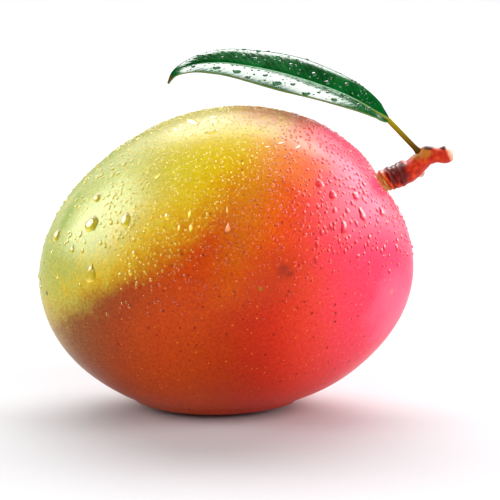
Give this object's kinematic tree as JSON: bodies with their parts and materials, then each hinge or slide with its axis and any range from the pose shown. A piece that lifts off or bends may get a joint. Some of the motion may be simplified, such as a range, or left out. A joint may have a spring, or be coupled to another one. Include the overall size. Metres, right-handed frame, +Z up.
{
  "type": "whole mango with stalk and leaf",
  "caption": "Whole ripe mango as picked, lying on a small flat spot, with a short woody stalk and a leaf arching over it.",
  "frame": {"origin": "middle of the small flat spot that the fruit rests on", "axes": "+Z up, +X along the fruit towards its stalk end, -Y out of the broad side that faces the viewer"},
  "size_m": [0.1325, 0.09, 0.116],
  "materials": {
    "fruit": "waxy mango skin, pale green at the nose, gold and orange in the middle, rose red at the stalk end",
    "stalk": "red-brown bark with dark ring scars",
    "leaf": "smooth deep green, glossy above",
    "water": "clear drops"
  },
  "bodies": {
    "root": {"fruit": "fruit", "stalk": "stalk", "leaf": "leaf"}
  },
  "joints": []
}
